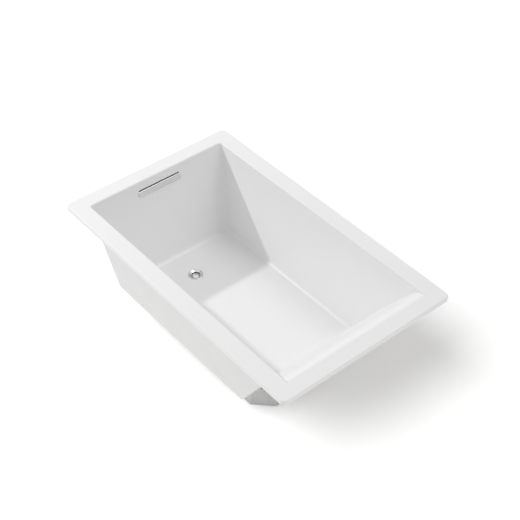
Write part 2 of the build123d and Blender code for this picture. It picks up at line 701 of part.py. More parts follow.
# Overflow: a scoop-shaped trim over the lower half of the slot, clamped by two studs

with BuildPart() as overflow_trim:
    with BuildSketch(OVERFLOW_PLANE):
        with Locations((0, (TRIM_TOP + TRIM_BOTTOM) / 2)):
            Rectangle(TRIM_LENGTH, TRIM_TOP - TRIM_BOTTOM)
        fillet(vertices().group_by(Axis.Y)[0], TRIM_CORNER)
    extrude(amount=TRIM_PROUD)
    fillet(overflow_trim.faces().sort_by(OVERFLOW_AXIS)[-1].edges(), TRIM_ROUND)
    with BuildSketch(OVERFLOW_PLANE):
        with Locations((0, (TRIM_TOP + TRIM_BOTTOM) / 2 + TRIM_RETURN)):
            Rectangle(TRIM_LENGTH - 2 * TRIM_RETURN, TRIM_TOP - TRIM_BOTTOM)
        fillet(vertices().group_by(Axis.Y)[0], TRIM_CORNER - TRIM_RETURN)
    extrude(amount=TRIM_PROUD - TRIM_SKIN, mode=Mode.SUBTRACT)
    with BuildSketch(OVERFLOW_PLANE):
        with Locations((-STUD_X, STUD_Y), (STUD_X, STUD_Y)):
            Circle(TRIM_BOSS_RADIUS)
    extrude(amount=TRIM_PROUD - TRIM_SKIN)
    with BuildSketch(OVERFLOW_PLANE):
        with Locations((-STUD_X, STUD_Y), (STUD_X, STUD_Y)):
            Circle(STUD_RADIUS)
    extrude(amount=TRIM_PROUD - TRIM_SKIN, mode=Mode.SUBTRACT)
save(overflow_trim, "overflow_trim")

with BuildPart() as overflow_studs:
    with BuildSketch(OVERFLOW_PLANE.offset(TRIM_PROUD - TRIM_SKIN)):
        with Locations((-STUD_X, STUD_Y), (STUD_X, STUD_Y)):
            Circle(STUD_RADIUS)
    extrude(amount=-STUD_LENGTH)
save(overflow_studs, "overflow_studs")

GASKET_PLANE = OVERFLOW_PLANE.offset(-WALL)
HOUSING_PLANE = OVERFLOW_PLANE.offset(-WALL - OVERFLOW_GASKET_THICKNESS)
NUT_PLANE = HOUSING_PLANE.offset(-HOUSING_FLANGE)


def overflow_flange():
    """Outline shared by the gasket and the housing's flange, with its stud holes."""
    with Locations((0, FLANGE_CENTRE_Y)):
        RectangleRounded(HOUSING_LENGTH, HOUSING_HEIGHT, HOUSING_CORNER)
    SlotOverall(SLOT_LENGTH, SLOT_HEIGHT, mode=Mode.SUBTRACT)
    with Locations((-STUD_X, STUD_Y), (STUD_X, STUD_Y)):
        Circle(STUD_RADIUS, mode=Mode.SUBTRACT)


with BuildPart() as overflow_gasket:
    with BuildSketch(GASKET_PLANE):
        overflow_flange()
    extrude(amount=-OVERFLOW_GASKET_THICKNESS)
save(overflow_gasket, "overflow_gasket")

with BuildPart() as overflow_housing:
    with BuildSketch(HOUSING_PLANE):
        overflow_flange()
    extrude(amount=-HOUSING_FLANGE)
    with BuildSketch(NUT_PLANE):
        SlotOverall(SLOT_LENGTH + 2 * HOUSING_WALL, SLOT_HEIGHT + 2 * HOUSING_WALL)
    extrude(amount=-HOUSING_BOX_DEPTH)
    with BuildSketch(NUT_PLANE):
        with Locations((0, -HOPPER_DROP / 2)):
            Rectangle(HOPPER_WIDTH, HOPPER_DROP)
    extrude(amount=-HOPPER_DEPTH)
    extrude(disc(SPIGOT, SOCKET_RADIUS), amount=-SPIGOT_LENGTH)
    with BuildSketch(HOUSING_PLANE):
        SlotOverall(SLOT_LENGTH, SLOT_HEIGHT)
    extrude(amount=-HOUSING_FLANGE - HOUSING_BOX_DEPTH + HOUSING_WALL, mode=Mode.SUBTRACT)
    with BuildSketch(NUT_PLANE.offset(-HOUSING_WALL)):
        with Locations((0, -HOPPER_DROP / 2 + HOUSING_WALL)):
            Rectangle(HOPPER_WIDTH - 2 * HOUSING_WALL, HOPPER_DROP)
    extrude(amount=-HOPPER_DEPTH + 2 * HOUSING_WALL, mode=Mode.SUBTRACT)
    extrude(disc(SPIGOT, TUBE_BORE), amount=HOUSING_WALL - SPIGOT_LENGTH, mode=Mode.SUBTRACT)
    extrude(disc(SPIGOT, SOCKET_BORE), amount=-SOCKET_DEPTH, mode=Mode.SUBTRACT)
save(overflow_housing, "overflow_housing")

with BuildPart() as overflow_nuts:
    with BuildSketch(NUT_PLANE):
        with Locations((-STUD_X, STUD_Y), (STUD_X, STUD_Y)):
            RegularPolygon(STUD_NUT_RADIUS, 6)
            Circle(STUD_RADIUS, mode=Mode.SUBTRACT)
    extrude(amount=-STUD_NUT_THICKNESS)
save(overflow_nuts, "overflow_nuts")
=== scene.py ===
"""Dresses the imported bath: a smooth moulded shell, turned fittings, finishes, floor and light.

Metres, in the model's own frame: X runs from the drain end to the backrest, Y across, Z up.
"""
import json
from math import asin, cos, pi, radians, sin, tan

import bmesh
import bpy
from mathutils import Matrix, Vector


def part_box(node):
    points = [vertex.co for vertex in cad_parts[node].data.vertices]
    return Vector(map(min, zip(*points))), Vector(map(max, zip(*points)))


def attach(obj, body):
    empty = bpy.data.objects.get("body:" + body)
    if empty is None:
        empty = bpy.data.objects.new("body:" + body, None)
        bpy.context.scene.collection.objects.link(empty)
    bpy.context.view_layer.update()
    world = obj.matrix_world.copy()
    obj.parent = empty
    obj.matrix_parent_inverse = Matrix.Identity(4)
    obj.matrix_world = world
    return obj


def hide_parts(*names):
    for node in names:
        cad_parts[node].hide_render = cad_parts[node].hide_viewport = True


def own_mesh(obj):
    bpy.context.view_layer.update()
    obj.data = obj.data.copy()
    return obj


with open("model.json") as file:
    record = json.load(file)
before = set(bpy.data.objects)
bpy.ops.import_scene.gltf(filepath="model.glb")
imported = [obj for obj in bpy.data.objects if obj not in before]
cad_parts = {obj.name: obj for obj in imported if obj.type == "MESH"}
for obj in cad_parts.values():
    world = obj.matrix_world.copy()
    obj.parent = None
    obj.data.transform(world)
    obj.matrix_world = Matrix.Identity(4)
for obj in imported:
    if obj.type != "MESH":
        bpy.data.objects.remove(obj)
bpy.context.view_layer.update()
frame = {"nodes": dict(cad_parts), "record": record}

# Overall size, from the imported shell
SHELL_LOW, SHELL_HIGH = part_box("bath_shell")
LENGTH = SHELL_HIGH.x - SHELL_LOW.x
WIDTH = SHELL_HIGH.y - SHELL_LOW.y
HEIGHT = SHELL_HIGH.z

# Deck and its turned-down lip
WALL = 0.007
LIP_HEIGHT = 0.023
LIP_WALL = 0.006
DECK_CORNER = 0.025
DECK_EDGE = 0.004
LIP_EDGE = 0.0008

# Basin: its mouth, the lean of its walls, its floor
MOUTH_HALF_WIDTH = 0.378
MOUTH_DRAIN_X = -0.687
MOUTH_BACKREST_X = 0.700
MOUTH_OVERRUN = 0.020
MOUTH_RISE = 0.020
SIDE_DRAFT = radians(6.3)
DRAIN_END_DRAFT = radians(13.0)
MOUTH_CORNER = 0.012
MOUTH_EDGE = 0.006
FLOOR_CORNER = 0.028
FLOOR_FILLET = 0.0225
FLOOR_FALL = radians(0.4)
DEPTH_AT_DRAIN = 0.457

# Backrest, seen from the side: a roll over the deck's edge, a full lumbar curve, a foot
ROLL_RADIUS = 0.095
ROLL_SLOPE = radians(50.0)
FOOT_SLOPE = radians(60.0)
FOOT_RADIUS = 0.080
CROSSING = 0.00002

# Drain and overflow
DRAIN_X = -0.415
RECESS_Z = HEIGHT - DEPTH_AT_DRAIN - 0.003
RECESS_RADIUS = 0.036
WASHER_SEAT_Z = 0.0953
WASHER_SEAT_RADIUS = 0.040
DRAIN_HOLE_RADIUS = 0.026
OVERFLOW_DEPTH = 0.050
SLOT_LENGTH = 0.236
SLOT_HEIGHT = 0.016
STUD_X = 0.090
STUD_Y = -0.019
STUD_HOLE_RADIUS = 0.00275

# How finely round stretches are cut
CORNER_STEPS = 12
FILLET_STEPS = 10
EDGE_STEPS = 4
ROLL_STEPS = 30
LUMBAR_STEPS = 16
FOOT_STEPS = 20
LIP_STEPS = 2
CROWN_STEPS = 10
ROUND_STEPS = 5
CREST_STEPS = 3
TURNED_SIDES = 96
STUD_SIDES = 24

# Two places nearer than this are one place, and a turn sharper than these is an edge
SAME = 1e-5
FLOOR_CREASE = radians(40.0)
MOUTH_CREASE = radians(45.0)


# Modelling by hand


def alone(piece):
    """Selects one object alone and makes it the active one."""
    bpy.ops.object.select_all(action="DESELECT")
    piece.select_set(True)
    bpy.context.view_layer.objects.active = piece


def keep(name):
    """Names the primitive just added and settles its place in its mesh."""
    piece = bpy.context.active_object
    piece.name = piece.data.name = name
    alone(piece)
    bpy.ops.object.transform_apply(location=True, rotation=True, scale=True)
    return piece


def edit(piece):
    """Opens a piece for shaping."""
    alone(piece)
    bpy.ops.object.mode_set(mode="EDIT")


def done():
    """Closes the piece that is being shaped."""
    bpy.ops.object.mode_set(mode="OBJECT")


def pick(kind, test):
    """In the piece being shaped, selects the verts, edges or faces that pass a test."""
    bpy.ops.mesh.select_mode(type={"verts": "VERT", "edges": "EDGE", "faces": "FACE"}[kind])
    bpy.ops.mesh.select_all(action="DESELECT")
    data = bpy.context.active_object.data
    mesh = bmesh.from_edit_mesh(data)
    for element in getattr(mesh, kind):
        if test(element):
            element.select_set(True)
    bmesh.update_edit_mesh(data)


def middle(element):
    """Middle of an edge or a face."""
    places = [vert.co for vert in element.verts]
    return sum(places, Vector()) / len(places)


def level(element, height):
    """True if an edge or a face lies at one height."""
    return all(abs(vert.co.z - height) < SAME for vert in element.verts)


def upright(edge):
    """True for an edge that stands on end."""
    low, high = edge.verts
    return abs(low.co.x - high.co.x) < SAME and abs(low.co.y - high.co.y) < SAME


def round_edges(radius, steps, corners=False):
    """Rounds the picked edges, or the picked corners of a flat plate."""
    bpy.ops.mesh.bevel(
        offset=radius,
        offset_type="OFFSET",
        segments=steps,
        profile=0.5,
        affect="VERTICES" if corners else "EDGES",
        clamp_overlap=False,
    )


def block(name, low, high):
    """A block between two corners, as a start for shaping."""
    low, high = Vector(low), Vector(high)
    bpy.ops.mesh.primitive_cube_add(size=1, location=(low + high) / 2, scale=high - low)
    return keep(name)


def combine(piece, other, operation):
    """Joins, cuts or trims a piece with another, which is used up."""
    cut = piece.modifiers.new("cut", "BOOLEAN")
    cut.operation = operation
    cut.solver = "EXACT"
    cut.object = other
    alone(piece)
    bpy.ops.object.modifier_apply(modifier=cut.name)
    bpy.data.objects.remove(other)


def smooth(piece, crease=radians(28.0)):
    """Smooth shading over gentle turns, with flat faces kept flat beside round ones."""
    alone(piece)
    bpy.ops.object.shade_smooth_by_angle(angle=crease)
    weight = piece.modifiers.new("weight", "WEIGHTED_NORMAL")
    weight.keep_sharp = True
    bpy.ops.object.modifier_apply(modifier=weight.name)


def basin_half_width(depth, offset):
    """Half width between the side walls at a depth, each wall moved out by offset."""
    return MOUTH_HALF_WIDTH - depth * tan(SIDE_DRAFT) + offset / cos(SIDE_DRAFT)


def basin_plate(name, height, drain_end, near_end, corner):
    """One level of the basin: an edge loop with rounded corners, from (x, half width) ends."""
    (drain_x, drain_half), (near_x, near_half) = drain_end, near_end
    middle_x = (drain_x + near_x) / 2
    bpy.ops.mesh.primitive_plane_add(size=1, location=(middle_x, 0, height))
    bpy.context.active_object.scale = (near_x - drain_x, 2 * near_half, 1)
    plate = keep(name)
    edit(plate)
    pick("verts", lambda vert: vert.co.x < middle_x)
    bpy.ops.transform.resize(value=(1, drain_half / near_half, 1), center_override=(0, 0, 0))
    bpy.ops.mesh.select_all(action="SELECT")
    round_edges(corner, CORNER_STEPS, corners=True)
    bpy.ops.mesh.select_all(action="SELECT")
    bpy.ops.mesh.delete(type="ONLY_FACE")
    done()
    return plate


def tapered_box(offset):
    """The basin before its backrest is cut: a mouth and a falling floor with walls between."""
    near_x = MOUTH_BACKREST_X + MOUTH_OVERRUN
    slope, fall = tan(DRAIN_END_DRAFT), tan(FLOOR_FALL)
    depth = DEPTH_AT_DRAIN + offset / cos(FLOOR_FALL)
    mouth_x = MOUTH_DRAIN_X - offset / cos(DRAIN_END_DRAFT)
    floor_x = (mouth_x + slope * (depth + fall * DRAIN_X)) / (1 + slope * fall)
    drain_depth = depth - fall * (floor_x - DRAIN_X)
    near_depth = depth - fall * (near_x - DRAIN_X)
    half = basin_half_width(0, offset)
    mouth = basin_plate("mouth", HEIGHT, (mouth_x, half), (near_x, half), MOUTH_CORNER + offset)
    drain_end = (floor_x, basin_half_width(drain_depth, offset))
    near_end = (near_x, basin_half_width(near_depth, offset))
    floor = basin_plate("floor", HEIGHT - drain_depth, drain_end, near_end, FLOOR_CORNER + offset)
    # The floor falls towards the drain
    rise = (drain_depth - near_depth) / (near_x - floor_x)
    for vert in floor.data.vertices:
        vert.co.z += rise * (vert.co.x - floor_x)
    alone(mouth)
    floor.select_set(True)
    bpy.ops.object.join()
    edit(mouth)
    bpy.ops.mesh.select_all(action="SELECT")
    bpy.ops.mesh.bridge_edge_loops()
    bpy.ops.mesh.select_all(action="SELECT")
    bpy.ops.mesh.fill_holes(sides=0)
    bpy.ops.mesh.select_all(action="SELECT")
    bpy.ops.mesh.normals_make_consistent(inside=False)
    pick("edges", lambda edge: edge.calc_face_angle(0) > FLOOR_CREASE and middle(edge).z < HEIGHT / 2)
    round_edges(FLOOR_FILLET + offset, FILLET_STEPS)
    done()
    return mouth


def lumbar_radius():
    """Radius of the lumbar curve that brings the foot of the backrest down onto the floor."""
    fall = tan(FLOOR_FALL)
    run = MOUTH_BACKREST_X - DRAIN_X - ROLL_RADIUS * sin(ROLL_SLOPE)
    run -= FOOT_RADIUS * (sin(FOOT_SLOPE) - sin(FLOOR_FALL))
    drop = DEPTH_AT_DRAIN - fall * run - ROLL_RADIUS * (1 - cos(ROLL_SLOPE))
    drop -= FOOT_RADIUS * (cos(FLOOR_FALL) - cos(FOOT_SLOPE))
    return drop / (cos(ROLL_SLOPE) - cos(FOOT_SLOPE) - fall * (sin(FOOT_SLOPE) - sin(ROLL_SLOPE)))


def backrest_prism(offset):
    """Everything above the backrest and the floor, as a prism across the whole bath."""
    top = 2 * HEIGHT
    start_z = HEIGHT - offset
    back = block(
        "backrest",
        (MOUTH_BACKREST_X, -WIDTH / 2, start_z),
        (MOUTH_BACKREST_X + WALL, WIDTH / 2, top),
    )
    roll = Vector((MOUTH_BACKREST_X, 0, HEIGHT - ROLL_RADIUS))
    leaning = Vector((-sin(ROLL_SLOPE), 0, cos(ROLL_SLOPE)))
    lumbar = roll + (ROLL_RADIUS - lumbar_radius()) * leaning
    steep = Vector((-sin(FOOT_SLOPE), 0, cos(FOOT_SLOPE)))
    foot = lumbar + (lumbar_radius() + FOOT_RADIUS) * steep
    edit(back)
    pick("faces", lambda face: middle(face).x > MOUTH_BACKREST_X + SAME)
    bpy.ops.mesh.delete(type="FACE")
    pick("edges", lambda edge: level(edge, start_z))
    across = (0, 1, 0)
    bpy.ops.mesh.spin(steps=ROLL_STEPS, angle=ROLL_SLOPE, center=roll, axis=across)
    bpy.ops.mesh.spin(
        steps=LUMBAR_STEPS, angle=FOOT_SLOPE - ROLL_SLOPE, center=lumbar, axis=across
    )
    bpy.ops.mesh.spin(steps=FOOT_STEPS, angle=FLOOR_FALL - FOOT_SLOPE, center=foot, axis=across)
    # Down under the floor, away past the drain end, up, and back over the top
    for move in ((-WALL, 0, -3 * WALL), (-LENGTH, 0, 0), (0, 0, top)):
        bpy.ops.mesh.extrude_region()
        bpy.ops.transform.translate(value=move)
    bpy.ops.mesh.select_all(action="SELECT")
    bpy.ops.transform.translate(value=(0, 0, CROSSING))
    for end in (-1, 1):
        pick("edges", lambda edge: all(vert.co.y * end > WIDTH / 2 - SAME for vert in edge.verts))
        bpy.ops.mesh.edge_face_add()
    bpy.ops.mesh.select_all(action="SELECT")
    bpy.ops.mesh.fill_holes(sides=0)
    bpy.ops.mesh.select_all(action="SELECT")
    bpy.ops.mesh.normals_make_consistent(inside=False)
    done()
    return back


def basin_form(offset, top):
    """The space inside the basin as a closed form, its faces moved out by offset."""
    form = tapered_box(offset)
    edit(form)
    pick("faces", lambda face: level(face, HEIGHT))
    bpy.ops.transform.translate(value=(0, 0, top - HEIGHT))
    done()
    combine(form, backrest_prism(offset), "INTERSECT")
    return form


def deck_slab():
    """The flat deck with its rounded corners, its turned-down lip and its open underside."""
    low = (-LENGTH / 2, -WIDTH / 2, HEIGHT - LIP_HEIGHT)
    high = (LENGTH / 2, WIDTH / 2, HEIGHT)
    deck = block("bath_shell_moulding", low, high)
    edit(deck)
    pick("edges", upright)
    round_edges(DECK_CORNER, CORNER_STEPS)
    pick("edges", lambda edge: level(edge, HEIGHT))
    round_edges(DECK_EDGE, EDGE_STEPS)
    pick("edges", lambda edge: level(edge, HEIGHT - LIP_HEIGHT))
    round_edges(LIP_EDGE, LIP_STEPS)
    pick("faces", lambda face: level(face, HEIGHT - LIP_HEIGHT))
    bpy.ops.mesh.inset(thickness=LIP_WALL - LIP_EDGE, use_even_offset=True)
    bpy.ops.mesh.extrude_region()
    bpy.ops.transform.translate(value=(0, 0, LIP_HEIGHT - WALL))
    done()
    return deck


def drain_cutter(name, radius, low, high):
    """A round bar on the drain's axis."""
    bpy.ops.mesh.primitive_cylinder_add(
        vertices=TURNED_SIDES,
        radius=radius,
        depth=high - low,
        location=(DRAIN_X, 0, (low + high) / 2),
    )
    return keep(name)


OVERFLOW_UP = Vector((-sin(DRAIN_END_DRAFT), 0, cos(DRAIN_END_DRAFT)))
OVERFLOW_OUT = Vector((cos(DRAIN_END_DRAFT), 0, sin(DRAIN_END_DRAFT)))
OVERFLOW_ORIGIN = Vector(
    (MOUTH_DRAIN_X + OVERFLOW_DEPTH * tan(DRAIN_END_DRAFT), 0, HEIGHT - OVERFLOW_DEPTH)
)
OVERFLOW_PLACE = Matrix(
    (
        (0, OVERFLOW_UP.x, OVERFLOW_OUT.x, OVERFLOW_ORIGIN.x),
        (1, OVERFLOW_UP.y, OVERFLOW_OUT.y, OVERFLOW_ORIGIN.y),
        (0, OVERFLOW_UP.z, OVERFLOW_OUT.z, OVERFLOW_ORIGIN.z),
        (0, 0, 0, 1),
    )
)


def on_drain_end(piece):
    """Moves a piece made flat, X along the slot and Z out of the wall, onto the drain-end wall."""
    piece.matrix_world = OVERFLOW_PLACE
    alone(piece)
    bpy.ops.object.transform_apply(location=True, rotation=True, scale=True)
    return piece


def slot_cutter():
    """The overflow slot as a bar with round ends."""
    size = Vector((SLOT_LENGTH, SLOT_HEIGHT, 4 * WALL)) / 2
    slot = block("slot", -size, size)
    edit(slot)
    pick("edges", upright)
    round_edges(SLOT_HEIGHT / 2 - SAME, CORNER_STEPS)
    done()
    return on_drain_end(slot)


def stud_cutter(x):
    """One of the two stud holes under the slot."""
    bpy.ops.mesh.primitive_cylinder_add(
        vertices=STUD_SIDES, radius=STUD_HOLE_RADIUS, depth=4 * WALL, location=(x, STUD_Y, 0)
    )
    return on_drain_end(keep("stud_hole"))


def bath_shell():
    """Deck and basin in one moulding, with its drain recess and its overflow slot."""
    shell = deck_slab()
    combine(shell, basin_form(WALL, HEIGHT - WALL / 2), "UNION")
    combine(shell, basin_form(0, HEIGHT + MOUTH_RISE), "DIFFERENCE")
    edit(shell)
    pick("edges", on_mouth)
    round_edges(MOUTH_EDGE, EDGE_STEPS)
    done()
    combine(shell, drain_cutter("recess", RECESS_RADIUS, RECESS_Z, RECESS_Z + 2 * WALL), "DIFFERENCE")
    seat = drain_cutter("seat", WASHER_SEAT_RADIUS, WASHER_SEAT_Z - WALL, WASHER_SEAT_Z)
    combine(shell, seat, "DIFFERENCE")
    hole = drain_cutter("hole", DRAIN_HOLE_RADIUS, WASHER_SEAT_Z - WALL, WASHER_SEAT_Z + WALL)
    combine(shell, hole, "DIFFERENCE")
    combine(shell, slot_cutter(), "DIFFERENCE")
    for x in (-STUD_X, STUD_X):
        combine(shell, stud_cutter(x), "DIFFERENCE")
    smooth(shell)
    return shell


def on_mouth(edge):
    """True for the edges in which the side walls and the drain-end wall meet the deck."""
    spot = middle(edge)
    inside = abs(spot.y) < MOUTH_HALF_WIDTH + SAME and spot.x < MOUTH_BACKREST_X - SAME
    return level(edge, HEIGHT) and inside and edge.calc_face_angle(0) > MOUTH_CREASE


def turned(name, profile, centre=(DRAIN_X, 0)):
    """A turned piece: a ring drawn out through each (radius, height) of its section."""
    radius, height = profile[0]
    bpy.ops.mesh.primitive_circle_add(
        vertices=TURNED_SIDES, radius=radius, location=(*centre, height)
    )
    piece = keep(name)
    edit(piece)
    bpy.ops.mesh.select_all(action="SELECT")
    for next_radius, next_height in profile[1:]:
        grow = next_radius / radius
        bpy.ops.mesh.extrude_region()
        bpy.ops.transform.resize(value=(grow, grow, 1), center_override=(*centre, height))
        bpy.ops.transform.translate(value=(0, 0, next_height - height))
        radius, height = next_radius, next_height
    bpy.ops.mesh.select_all(action="SELECT")
    bpy.ops.mesh.remove_doubles(threshold=SAME)
    bpy.ops.mesh.fill_holes(sides=0)
    bpy.ops.mesh.select_all(action="SELECT")
    bpy.ops.mesh.normals_make_consistent(inside=False)
    done()
    return piece


def arc(centre, radius, start, turn, steps):
    """Points of an arc in a section, from a starting angle through a turn, in degrees."""
    angles = [radians(start + turn * step / steps) for step in range(steps + 1)]
    return [(centre[0] + radius * cos(a), centre[1] + radius * sin(a)) for a in angles]


# Drain


FLANGE_RADIUS = 0.035
FLANGE_TOP_Z = RECESS_Z + 0.0035
FLANGE_ROUND = 0.0014
DISH_RADIUS = 0.032
DISH_BOTTOM_Z = 0.0988
BARREL_RADIUS = 0.025
BARREL_BOTTOM_Z = 0.060
THROAT_RADIUS = 0.022
THROAT_ROUND = 0.0012
CREST_TURN = 25.0
STRAINER_RADIUS = 0.0155
SEAT_Z = 0.081
SPIDER_BOSS_RADIUS = 0.0095
SPIDER_BORE = 0.006
SPIDER_THICKNESS = 0.006
SPIDER_ARM_WIDTH = 0.0035
SPIDER_ARMS = 4


def drain_flange():
    """The dished chrome ring in the floor, its barrel, and the spider across its foot."""
    rim = (FLANGE_RADIUS - FLANGE_ROUND, FLANGE_TOP_Z - FLANGE_ROUND)
    crest = (DISH_RADIUS + FLANGE_ROUND, FLANGE_TOP_Z - FLANGE_ROUND)
    lip = (THROAT_RADIUS + THROAT_ROUND, DISH_BOTTOM_Z - THROAT_ROUND)
    closing = (STRAINER_RADIUS, BARREL_BOTTOM_Z)
    flange = turned(
        "drain_flange_turned",
        [
            closing,
            (BARREL_RADIUS, BARREL_BOTTOM_Z),
            (BARREL_RADIUS, RECESS_Z),
            (FLANGE_RADIUS, RECESS_Z),
            *arc(rim, FLANGE_ROUND, 0, 90, ROUND_STEPS),
            *arc(crest, FLANGE_ROUND, 90, CREST_TURN, CREST_STEPS),
            *arc(lip, THROAT_ROUND, 90 + CREST_TURN, 90 - CREST_TURN, ROUND_STEPS),
            (THROAT_RADIUS, SEAT_Z),
            (STRAINER_RADIUS, SEAT_Z),
            closing,
        ],
    )
    boss = turned(
        "boss",
        [
            (SPIDER_BORE, BARREL_BOTTOM_Z),
            (SPIDER_BOSS_RADIUS, BARREL_BOTTOM_Z),
            (SPIDER_BOSS_RADIUS, BARREL_BOTTOM_Z + SPIDER_THICKNESS),
            (SPIDER_BORE, BARREL_BOTTOM_Z + SPIDER_THICKNESS),
            (SPIDER_BORE, BARREL_BOTTOM_Z),
        ],
    )
    for turn in range(SPIDER_ARMS):
        low = Vector((SPIDER_BOSS_RADIUS - SPIDER_ARM_WIDTH / 4, -SPIDER_ARM_WIDTH / 2, 0))
        high = Vector((STRAINER_RADIUS + SPIDER_ARM_WIDTH / 4, SPIDER_ARM_WIDTH / 2, SPIDER_THICKNESS))
        arm = block("arm", low, high)
        arm.location = (DRAIN_X, 0, BARREL_BOTTOM_Z)
        arm.rotation_euler.z = 2 * pi * turn / SPIDER_ARMS
        alone(arm)
        bpy.ops.object.transform_apply(location=True, rotation=True, scale=True)
        combine(boss, arm, "UNION")
    combine(flange, boss, "UNION")
    smooth(flange)
    return flange


CAP_RADIUS = 0.0175
CAP_TOP_Z = 0.098
CAP_CROWN = 0.003
CAP_ROUND = 0.0012
CAP_EDGE_TURN = 72.0
CAP_UNDERSIDE_Z = 0.092
STEM_RADIUS = 0.0025
STEM_TOP_Z = 0.095


def stopper_cap():
    """The push cap: a shallow crown with a rounded rim, hollowed below for its stem."""
    crown_radius = (CAP_RADIUS**2 + CAP_CROWN**2) / (2 * CAP_CROWN)
    spread = asin((CAP_RADIUS - CAP_ROUND) / crown_radius)
    crown = []
    for step in range(1, CROWN_STEPS + 1):
        slope = spread * step / CROWN_STEPS
        crown.append((crown_radius * sin(slope), CAP_TOP_Z - crown_radius * (1 - cos(slope))))
    edge_z = crown[-1][1] - CAP_ROUND
    cap = turned(
        "stopper_cap_turned",
        [
            *crown,
            *arc((CAP_RADIUS - CAP_ROUND, edge_z), CAP_ROUND, CAP_EDGE_TURN, -CAP_EDGE_TURN, EDGE_STEPS),
            (CAP_RADIUS, CAP_UNDERSIDE_Z),
            (STEM_RADIUS, CAP_UNDERSIDE_Z),
            (STEM_RADIUS, STEM_TOP_Z),
        ],
    )
    smooth(cap)
    return cap


# Overflow trim


TRIM_LENGTH = 0.244
TRIM_TOP = 0.0015
TRIM_BOTTOM = -0.029
TRIM_CORNER = 0.015
TRIM_PROUD = 0.007
TRIM_SKIN = 0.002
TRIM_RETURN = 0.0025
TRIM_ROUND = 0.0015
TRIM_BOSS_RADIUS = 0.006
STUD_RADIUS = 0.0025


def trim_plate(name, length, top, bottom, corner, depth):
    """A plate with its two lower corners rounded, lying flat."""
    plate = block(name, (-length / 2, bottom, 0), (length / 2, top, depth))
    edit(plate)
    pick("edges", lambda edge: upright(edge) and middle(edge).y < (top + bottom) / 2)
    round_edges(corner, CORNER_STEPS)
    done()
    return plate


def overflow_trim():
    """The scoop under the slot: a rounded plate, hollow behind and open at the top."""
    trim = trim_plate("overflow_trim_pressed", TRIM_LENGTH, TRIM_TOP, TRIM_BOTTOM, TRIM_CORNER, TRIM_PROUD)
    edit(trim)
    pick("edges", lambda edge: level(edge, TRIM_PROUD))
    round_edges(TRIM_ROUND, EDGE_STEPS)
    done()
    hollow = trim_plate(
        "hollow",
        TRIM_LENGTH - 2 * TRIM_RETURN,
        TRIM_TOP + TRIM_RETURN,
        TRIM_BOTTOM + TRIM_RETURN,
        TRIM_CORNER - TRIM_RETURN,
        TRIM_PROUD - TRIM_SKIN,
    )
    edit(hollow)
    pick("faces", lambda face: level(face, 0))
    bpy.ops.transform.translate(value=(0, 0, -TRIM_SKIN))
    done()
    combine(trim, hollow, "DIFFERENCE")
    for x in (-STUD_X, STUD_X):
        boss = turned(
            "boss",
            [
                (STUD_RADIUS, 0),
                (TRIM_BOSS_RADIUS, 0),
                (TRIM_BOSS_RADIUS, TRIM_PROUD - TRIM_SKIN / 2),
                (STUD_RADIUS, TRIM_PROUD - TRIM_SKIN / 2),
                (STUD_RADIUS, 0),
            ],
            (x, STUD_Y),
        )
        combine(trim, boss, "UNION")
    on_drain_end(trim)
    smooth(trim)
    return trim


# Finishes


class Wire:
    """A node's output that takes plain arithmetic: each sum on it adds its Math node."""

    def __init__(self, tree, output):
        self.tree = tree
        self.output = output

    def node(self, kind, inputs, output=0, stops=(), **settings):
        """Adds a node of a kind: its settings, a ramp's stops, then its inputs' values and links."""
        made = self.tree.nodes.new(kind)
        for setting, value in settings.items():
            setattr(made, setting, value)
        for number, (place, colour) in enumerate(stops):
            elements = made.color_ramp.elements
            stop = elements[number] if number < 2 else elements.new(place)
            stop.position, stop.color = place, colour
        for socket, fed in inputs.items():
            if isinstance(fed, Wire):
                self.tree.links.new(fed.output, made.inputs[socket])
            else:
                made.inputs[socket].default_value = fed
        return Wire(self.tree, made.outputs[output]) if made.outputs else None

    def math(self, operation, *values):
        """A sum that has no sign of its own, such as a power or a greater of two."""
        return self.node("ShaderNodeMath", dict(enumerate(values)), operation=operation)

    def __add__(self, other):
        return self.math("ADD", self, other)

    def __radd__(self, other):
        return self.math("ADD", other, self)

    def __sub__(self, other):
        return self.math("SUBTRACT", self, other)

    def __rsub__(self, other):
        return self.math("SUBTRACT", other, self)

    def __mul__(self, other):
        return self.math("MULTIPLY", self, other)

    def __rmul__(self, other):
        return self.math("MULTIPLY", other, self)

    def noise(self, scale, detail=4.0, roughness=0.5):
        """Cloudy unevenness from 0 to 1, at a number of lumps to the metre."""
        inputs = {"Vector": self, "Scale": scale, "Detail": detail, "Roughness": roughness}
        return self.node("ShaderNodeTexNoise", inputs)

    def stretched(self, scale):
        """The same place with its axes stretched, for a grain or a pattern that runs one way."""
        return self.node("ShaderNodeMapping", {"Vector": self, "Scale": scale})

    def fade(self, low, high):
        """0 below a value and 1 above another, with a smooth turn between."""
        inputs = {"Value": self, "From Min": low, "From Max": high}
        return self.node("ShaderNodeMapRange", inputs, interpolation_type="SMOOTHSTEP")

    def tint(self, first, second):
        """A colour that goes from the first at 0 to the second at 1."""
        return self.node("ShaderNodeMix", {0: self, 6: first, 7: second}, output=2, data_type="RGBA")

    def bump(self, strength, distance):
        """Fine relief, of a height in metres."""
        return self.node(
            "ShaderNodeBump", {"Height": self, "Strength": strength, "Distance": distance}
        )


def grey(value):
    """A neutral colour."""
    return (value, value, value, 1.0)


def finish(name):
    """A new material and the place on the piece that its patterns follow."""
    material = bpy.data.materials.new(name)
    material.use_nodes = True
    tree = material.node_tree
    tree.nodes.clear()
    start = Wire(tree, None)
    place = start.node("ShaderNodeTexCoord", {}, output=3)
    return material, place


def coat(place, **sockets):
    """Feeds the surface shader and joins it to the material's output."""
    inputs = {name.replace("_", " "): fed for name, fed in sockets.items()}
    surface = place.node("ShaderNodeBsdfPrincipled", inputs)
    place.node("ShaderNodeOutputMaterial", {"Surface": surface})


